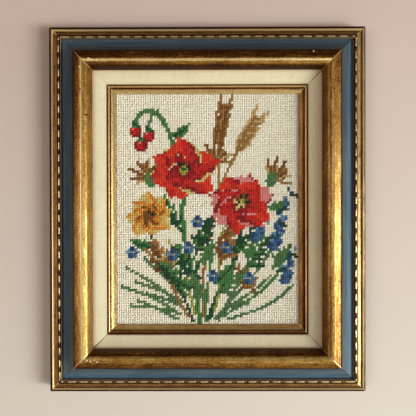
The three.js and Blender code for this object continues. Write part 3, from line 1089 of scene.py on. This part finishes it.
def floral_chart():
    """A generic bunch of garden flowers, grasses and berries on a plain ground."""
    chart = Chart(STITCH_COLUMNS, STITCH_ROWS, "cream")

    # Grass at the foot, and stalks that rise out of it
    for root, middle, tip in GRASS_BLADES:
        chart.stem([root, middle, tip], "moss")
    for yarn, width, points in STALKS:
        chart.stem(points, yarn, width)

    # Foliage in depth: tan bracken behind, then cut green leaves, then broad ones
    for root, tip, pairs, reach, yarns in FERNS:
        chart.fern(root, tip, pairs, reach, yarns)
    for root, tip, width, yarn, vein, bow in LEAVES:
        chart.leaf(root, tip, width, yarn, vein, bow)

    # Tan seed heads with a green cup, behind the red flowers
    for x, y, turn in SEED_HEADS:
        chart.fan(x, y, turn, 62, 11, 10.5, ("tan", "umber", "straw", "umber"))
        chart.disc(x, y, 3.0, 2.4, turn, "green")
        chart.disc(x + 0.6, y - 0.6, 1.7, 1.2, turn, "moss")

    # Berries that hang over at the top left
    chart.stem([(27, 74), (23, 94), (13, 95), (9, 86)], "green")
    chart.stem([(27, 73), (22, 93), (13, 94), (10, 86)], "moss")
    chart.stem([(19, 91), (16, 90), (15.5, 83)], "moss")
    for x, y in BERRIES:
        chart.disc(x, y, 2.7, 2.9, 0, "crimson")
        chart.disc(x - 0.4, y + 0.3, 1.9, 2.0, 0, "red")
        chart.put(x - 1, y + 1, "pink")
        chart.fan(x, y + 2, 90, 75, 4, 2.6, ("forest", "green"))

    # Ears of grain
    chart.ear((46, 77), (49, 92), 9, "umber", "tan")
    chart.ear((55, 74), (63, 87), 9, "tan", "straw")
    chart.stem([(55, 74), (50, 66), (47, 58)], "tan")

    # Spikes of blue flowers on the right, and small ones low down
    for root, tip, count in BLUE_SPIKES:
        for i in range(count):
            t = i / (count - 1)
            x = root[0] + (tip[0] - root[0]) * t + 1.3 * math.sin(i * 2.4)
            y = root[1] + (tip[1] - root[1]) * t
            size = 2.6 - 1.7 * t
            chart.disc(x, y, size, size * 0.85, 30, ("blue", "azure", "sky", "blue")[i % 4])
            chart.disc(x + 0.7, y - 0.7, size * 0.5, size * 0.45, 0, ("azure", "blue", "blue", "sky")[i % 4])
            if i % 3 == 2:
                chart.ray(x, y, 200 + 140 * (i % 2), 3.5, "forest")
    for x, y in BLUE_FLOWERS:
        chart.small_flower(x, y, 1.7, ("azure", "blue", "sky", "blue", "azure"), "straw")

    # Yellow flower low on the left
    for k, way in enumerate(range(10, 370, 45)):
        chart.petal(*YELLOW_FLOWER, way, 9.5 + k % 3, 4.6, ("orange", "gold", "butter"), None, 0.86)
    for way in range(30, 390, 60):
        chart.petal(*YELLOW_FLOWER, way, 6.4, 3.0, ("umber", "orange", "gold"), None, 0.86)
    chart.disc(*YELLOW_FLOWER, 2.3, 1.9, 20, "umber")
    chart.fan(*YELLOW_FLOWER, 60, 170, 7, 2.6, ("ebony", "umber"))

    # Large red flower at the upper left, seen from the front
    outer = ((252, 14.5, 8.0), (196, 15.0, 7.4), (318, 15.0, 7.8), (148, 14.0, 7.6), (18, 15.5, 7.6),
             (92, 14.5, 8.4))
    for way, length, width in outer:
        chart.petal(*RED_FLOWER, way, length, width, ("crimson", "red", "scarlet"), "butter", 0.88)
    for way in (120, 40, 330, 265, 205):
        chart.petal(*RED_FLOWER, way, 8.2, 4.6, ("crimson", "crimson", "red"), "butter", 0.86)
    chart.fan(*RED_FLOWER, 80, 175, 12, 4.4, ("ebony", "ebony", "umber"))
    chart.disc(*RED_FLOWER, 1.9, 1.7, 0, "lime")
    chart.disc(31, 66.2, 0.9, 0.8, 0, "forest")

    # Second red flower, a cup that leans to the right, with pink outer petals
    for way, length, width in ((170, 13.5, 7.0), (215, 14.0, 7.2), (75, 13.5, 7.4), (20, 15.0, 6.8)):
        chart.petal(*RED_CUP, way, length, width, ("crimson", "pink", "pink"), None, 0.9)
    for way, length, width in ((118, 13.0, 7.6), (262, 13.0, 7.6), (48, 12.5, 6.6), (322, 15.0, 7.6)):
        chart.petal(*RED_CUP, way, length, width, ("crimson", "red", "scarlet"), "pink", 0.9)
    for way in (150, 205, 20, 345):
        chart.petal(*RED_CUP, way, 10.0, 5.0, ("crimson", "red", "red"), "pink", 0.9)
    chart.fan(57, 53, 50, 120, 9, 4.6, ("ebony", "umber"))
    chart.disc(56.5, 52.5, 2.2, 1.4, 40, "lime")
    chart.fan(56.5, 52.5, 230, 60, 5, 3.6, ("butter", "ebony"))
    return chart


def stitch_shape():
    """One tent stitch: points as along, across, rise and thickness, their place in the yarn, and faces."""
    points, strand = [], []
    for along in STITCH_RINGS:
        thick = 1 - 0.52 * abs(along) ** 2.6
        rise = 1 - abs(along) ** 2.4
        for side in range(STITCH_SIDES):
            turn = 2 * math.pi * side / STITCH_SIDES
            points.append((along, math.cos(turn) * thick, rise, math.sin(turn) * thick))
            strand.append(((along + 1) / 2, side / STITCH_SIDES))
    faces = []
    rings = len(STITCH_RINGS)
    for ring in range(rings - 1):
        for side in range(STITCH_SIDES):
            a = ring * STITCH_SIDES + side
            b = ring * STITCH_SIDES + (side + 1) % STITCH_SIDES
            faces.append((a, b, b + STITCH_SIDES, a + STITCH_SIDES))
    faces.append(tuple(reversed(range(STITCH_SIDES))))
    faces.append(tuple(range((rings - 1) * STITCH_SIDES, rings * STITCH_SIDES)))
    return np.array(points), np.array(strand), faces


def stitch_places(chart):
    """The column and row of every stitch, listed by its yarn."""
    found = {}
    for column in range(STITCH_COLUMNS):
        for row in range(STITCH_ROWS):
            found.setdefault(chart.yarns[column][row], []).append((column, row))
    return found


def build_stitches(name, cells, material, luck):
    """Plump slanted stitches of one yarn, each a little different, as one mesh."""
    shape, strand, faces = stitch_shape()
    count, size = len(cells), len(shape)
    columns = np.array([c for c, _ in cells], float)
    rows = np.array([r for _, r in cells], float)
    middle_x = (columns - (STITCH_COLUMNS - 1) / 2) * STITCH_WIDE + luck.normal(0, UNEVEN_MIDDLE, count)
    middle_z = (rows - (STITCH_ROWS - 1) / 2) * STITCH_TALL + luck.normal(0, UNEVEN_MIDDLE, count)
    slant = STITCH_SLANT + luck.normal(0, UNEVEN_SLANT, count)
    length = STITCH_LONG / 2 * luck.normal(1, UNEVEN_LENGTH, count)
    width = STITCH_THICK / 2 * luck.normal(1, UNEVEN_WIDTH, count)
    lift = np.clip(luck.normal(1, UNEVEN_LIFT, count), 0.6, 1.15)

    along = shape[None, :, 0] * length[:, None]
    across = shape[None, :, 1] * width[:, None]
    bow = (1 - shape[None, :, 0] ** 2) * luck.normal(0, UNEVEN_BOW, count)[:, None]
    cos, sin = np.cos(slant)[:, None], np.sin(slant)[:, None]
    x = middle_x[:, None] + along * cos - (across + bow) * sin
    z = middle_z[:, None] + along * sin + (across + bow) * cos
    rise = (shape[None, :, 2] * STITCH_ARCH + shape[None, :, 3] * STITCH_THICK * 0.36) * lift[:, None]
    height = STITCH_FOOT + rise
    points = np.stack([x, -np.minimum(height, STITCH_TOP), z + CENTRE_Z], 2).reshape(-1, 3) * MM

    every = []
    for i in range(count):
        base = i * size
        every += [tuple(base + v for v in face) for face in faces]
    piece = part_piece(name, points, every, material)
    mesh = piece.data
    shade_smooth(mesh)
    numbers = (columns * 7.13 + rows * 3.71) % 97
    strands = np.concatenate([np.tile(strand, (count, 1)), np.repeat(numbers, size)[:, None]], 1)
    write_values(mesh, "strand", strands, "FLOAT_VECTOR")
    drift = np.sin(columns * 0.31 + rows * 0.17) * 0.12 + np.sin(rows * 0.83) * 0.07
    tones = np.clip(0.5 + drift + luck.normal(0, UNEVEN_TONE, count), 0, 1)
    write_values(mesh, "tone", np.repeat(tones, size))
    unwrap_stitches(mesh, count, size, faces, strand)
    return piece


def unwrap_stitches(mesh, count, size, faces, strand):
    """Lays each stitch in a cell of its own on the map that its colours are baked to."""
    across = math.ceil(math.sqrt(count))
    layer = mesh.uv_layers.new(name="OFBake")
    corners = []
    for face in faces:
        for v in face:
            u, w = strand[v]
            if len(face) == 4 and w == 0 and max(strand[k][1] for k in face) > 0.6:
                w = 1.0
            if len(face) > 4:
                w, u = 0.02 + 0.01 * (w > 0.5), min(max(u, 0.02), 0.98)
            corners.append((0.06 + 0.88 * u, 0.06 + 0.88 * w))
    corners = np.array(corners)
    cell = np.arange(count)
    origin = np.stack([cell % across, cell // across], 1)
    spread = (origin[:, None, :] + corners[None, :, :]) / across
    layer.data.foreach_set("uv", spread.reshape(-1).astype(np.float32))


def build_canvas(chart):
    """The canvas itself, closed, one square to a stitch. Front and back carry the yarns' dark tones, painted
    shade on the front.
    """
    columns = round(CANVAS_WIDTH / STITCH_WIDE) - 1
    rows = round(CANVAS_HEIGHT / STITCH_TALL)
    xs = np.linspace(-CANVAS_WIDTH / 2, CANVAS_WIDTH / 2, columns + 1)
    zs = np.linspace(-CANVAS_HEIGHT / 2, CANVAS_HEIGHT / 2, rows + 1)
    points, faces, yarns = [], [], []

    def yarn_at(x, z):
        column = round(x / STITCH_WIDE + (STITCH_COLUMNS - 1) / 2)
        row = round(z / STITCH_TALL + (STITCH_ROWS - 1) / 2)
        if 0 <= column < STITCH_COLUMNS and 0 <= row < STITCH_ROWS:
            return chart.yarns[column][row]
        return None

    for height in (CANVAS_BACK, CANVAS_FRONT):
        for z in zs:
            for x in xs:
                points.append((x, -height, z + CENTRE_Z))
    across = columns + 1
    back_size = across * (rows + 1)
    for base in (0, back_size):
        for r in range(rows):
            for c in range(columns):
                a = base + r * across + c
                faces.append((a, a + 1, a + 1 + across, a + across))
                yarns.append(yarn_at((xs[c] + xs[c + 1]) / 2, (zs[r] + zs[r + 1]) / 2))
    rim = list(range(across))
    rim += [r * across + columns for r in range(1, rows + 1)]
    rim += [rows * across + c for c in range(columns - 1, -1, -1)]
    rim += [r * across for r in range(rows - 1, 0, -1)]
    for i, a in enumerate(rim):
        b = rim[(i + 1) % len(rim)]
        faces.append((a, b, b + back_size, a + back_size))
        yarns.append(None)
    piece = part_piece("canvas_sheet", np.array(points) * MM, faces, canvas_cloth())
    mesh = piece.data
    layer = mesh.color_attributes.new("yarn", "FLOAT_COLOR", "CORNER")
    shades = []
    # Each square in its yarn's dark tone, which is painted shade between the stitches on the front
    for face, yarn in zip(faces, yarns):
        shade = linear(*YARNS[yarn][1]) if yarn else linear(196, 184, 152)
        shades += [shade] * len(face)
    layer.data.foreach_set("color", np.array(shades, np.float32).ravel())
    stitch = np.array(points)[:, [0, 2, 1]] / (STITCH_WIDE, STITCH_TALL, 1.0)
    write_values(mesh, "stitch", stitch, "FLOAT_VECTOR")
    face_outwards(mesh)
    return piece


def stage_plane(name, corners, material):
    """A flat piece of the stage, from its corners in metres."""
    place_piece(name, mesh_of(name, corners, [(0, 1, 2, 3)], material))


def aim(obj, place, target):
    obj.location = place
    obj.rotation_euler = (Vector(target) - Vector(place)).to_track_quat("-Z", "Y").to_euler()


def area_light(name, slope, distance, wide, tall, watts, colour):
    """A soft light that faces the frame's middle. Slope is right and up, for each metre in front of it."""
    lamp = bpy.data.lights.new(name, "AREA")
    lamp.shape = "RECTANGLE"
    lamp.size, lamp.size_y = wide, tall
    lamp.energy = watts
    lamp.color = colour
    light = place_piece(name, lamp)
    light.visible_camera = False
    middle = Vector((0, 0, CENTRE_Z * MM))
    aim(light, middle + Vector((slope[0], -1, slope[1])).normalized() * distance, middle)


def room_light(before, behind):
    """Dim light from the room before the wall, and light from behind it that reaches the back alone."""
    world = bpy.data.worlds.new("room")
    world.use_nodes = True
    bpy.context.scene.world = world
    tree = world.node_tree
    place = tree.nodes.new("ShaderNodeTexCoord")
    parts = tree.nodes.new("ShaderNodeSeparateXYZ")
    ramp = tree.nodes.new("ShaderNodeValToRGB")
    tree.links.new(place.outputs["Generated"], parts.inputs[0])
    tree.links.new(parts.outputs["Y"], ramp.inputs["Fac"])
    ramp.color_ramp.elements[0].color = before
    ramp.color_ramp.elements[1].color = behind
    ramp.color_ramp.elements[1].position = 0.4
    tree.links.new(ramp.outputs["Color"], tree.nodes["Background"].inputs["Color"])


# Gold of the three gilt strips, from the most worn to the brightest, and how much of it is left at each inset
WIDEST_INSET = 70
ROLL_GOLDS = [(54, 24, 5), (100, 60, 18), (156, 110, 48), (198, 158, 90), (238, 214, 154)]
EDGE_GOLDS = [(44, 17, 3), (102, 69, 36), (162, 124, 78), (238, 206, 148)]
SLIP_GOLDS = [(62, 30, 10), (120, 78, 36), (180, 132, 78), (228, 194, 134)]
EDGE_ZONES = [
    (0.0, 0.0), (3.08, 0.0), (3.5, 1.0), (4.76, 1.0), (5.18, 0.45), (8.4, 0.5), (8.89, 0.15), (9.8, 0.2),
    (10.1, 1.0), (11.69, 1.0), (12.11, 0.4), (12.39, 0.6), (12.88, 0.4),
]
ROLL_ZONES = [
    (26.6, 0.12), (29.4, 0.18), (31.15, 0.42), (35.0, 0.68), (37.1, 1.0), (42.35, 1.0), (43.26, 0.6),
    (44.8, 0.55), (46.9, 0.45),
]
SLIP_ZONES = [
    (58.8, 0.12), (60.76, 0.12), (61.46, 0.85), (63.0, 0.8), (63.7, 0.05), (64.4, 0.35), (65.45, 0.85),
    (67.2, 0.9), (68.95, 0.75),
]

# Bright and dark marks on the roll, as millimetres right and up of the frame's middle
CHIPS = [
    (-119.0, 152.2), (-110.8, 151.0), (-128.0, 144.1), (-117.0, 151.0), (107.2, 159.1), (-121.5, -152.0),
    (-118.0, -152.8), (-114.5, -151.6), (-111.5, -153.4), (-124.0, -150.5),
]
STAINS = [(131.7, 148.3), (131.7, 132.2), (131.8, 129.3), (127.8, 121.1), (-127.6, 121.0), (-122.0, 96.0)]

# Blues across the cove, from its outer edge
COVE_BLUES = [
    (0.0, (72, 88, 100)), (0.07, (82, 108, 136)), (0.3, (72, 97, 122)), (0.42, (92, 109, 118)),
    (0.74, (73, 88, 101)), (0.9, (59, 76, 92)), (1.0, (36, 40, 44)),
]
BARE_WOOD = bare_wood()
FINISHES = {
    "edge": gilt("edge_antique_gold", EDGE_ZONES, EDGE_GOLDS, 0.5, 0.5, 0.32, smear=12.7),
    "cove": slate_paint(),
    "roll": gilt("roll_antique_gold", ROLL_ZONES, ROLL_GOLDS, 0.65, 0.9, 0.34, CHIPS, STAINS),
    "liner": linen_cloth(),
    "slip": gilt("slip_antique_gold", SLIP_ZONES, SLIP_GOLDS, 0.5, 0.3, 0.3),
}

# Rails
LINES = {strip: section_line(strip) for strip in SECTIONS}
for strip in SECTIONS:
    for side in SIDES:
        build_rail(strip, side, FINISHES[strip])

# Canvas and stitches
chart = floral_chart()
luck = np.random.default_rng(41)
for yarn, cells in sorted(stitch_places(chart).items()):
    material = wool(yarn)
    parts = math.ceil(len(cells) / MOST_STITCHES)
    for part in range(parts):
        chosen = cells[part * len(cells) // parts : (part + 1) * len(cells) // parts]
        piece = build_stitches(f"stitches_{yarn}" + f"_{part + 1}" * (parts > 1), chosen, material, luck)
canvas = build_canvas(chart)
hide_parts("needlepoint_canvas")

# Stage: a pale wall behind the frame and a pale floor, in metres
FLOOR_Z = -1.6
WALL_Y = 0.0006
STAGE_HALF = 2.0
STAGE_FRONT = -3.0
STAGE_TOP = 1.2
ACROSS = (-STAGE_HALF, STAGE_HALF, STAGE_HALF, -STAGE_HALF)
UPRIGHT = (FLOOR_Z, FLOOR_Z, STAGE_TOP, STAGE_TOP)
DEEP = (STAGE_FRONT, STAGE_FRONT, WALL_Y, WALL_Y)

# The wall lets light through behind the frame, up to this many millimetres inside its outline
WALL_OPENING = 3

# The wall's colours, low down and high up, paint more light from below
wall = stage_surface("pale_wall", (226, 214, 203), (216, 189, 179), True)
stage_plane("wall", [(x, WALL_Y, z) for x, z in zip(ACROSS, UPRIGHT)], wall)
floor = stage_surface("pale_floor", (214, 208, 198), (214, 208, 198), False)
stage_plane("floor", [(x, y, FLOOR_Z) for x, y in zip(ACROSS, DEEP)], floor)

# Light: a window to the right and low, a wide one further to the side, and a weak one on the left
area_light("window", (1.1, -0.45), 2.8, 1.4, 0.7, 53, (0.88, 1.0, 0.98))
area_light("side_window", (1.8, -0.35), 2.9, 1.5, 1.2, 34, (1.0, 1.0, 0.92))
area_light("left_window", (-0.7, 0.0), 2.8, 1.6, 1.6, 21, (1.0, 0.9, 0.86))
room_light((0.075, 0.052, 0.036, 1), (0.75, 0.72, 0.68, 1))

# Camera, where the photograph was taken from
CAMERA_PLACE = (0.0028, -0.52, (CENTRE_Z + 4.4) * MM)
CAMERA_TURNS = (("Z", 0.112), ("Y", -0.241), ("X", 0.331))
camera = place_piece("camera", bpy.data.cameras.new("camera"))
camera.data.sensor_width = 36
camera.data.lens = 41.86
camera.data.clip_start = 0.01
tilt = Matrix.Identity(3)
for axis, degrees in CAMERA_TURNS:
    tilt = tilt @ Matrix.Rotation(math.radians(degrees), 3, axis)
photo_to_world = Matrix(((1, 0, 0), (0, 0, -1), (0, 1, 0)))
camera.matrix_world = (photo_to_world @ tilt.transposed()).to_4x4()
camera.location = CAMERA_PLACE
bpy.context.scene.camera = camera
bpy.context.scene.view_settings.view_transform = "Standard"
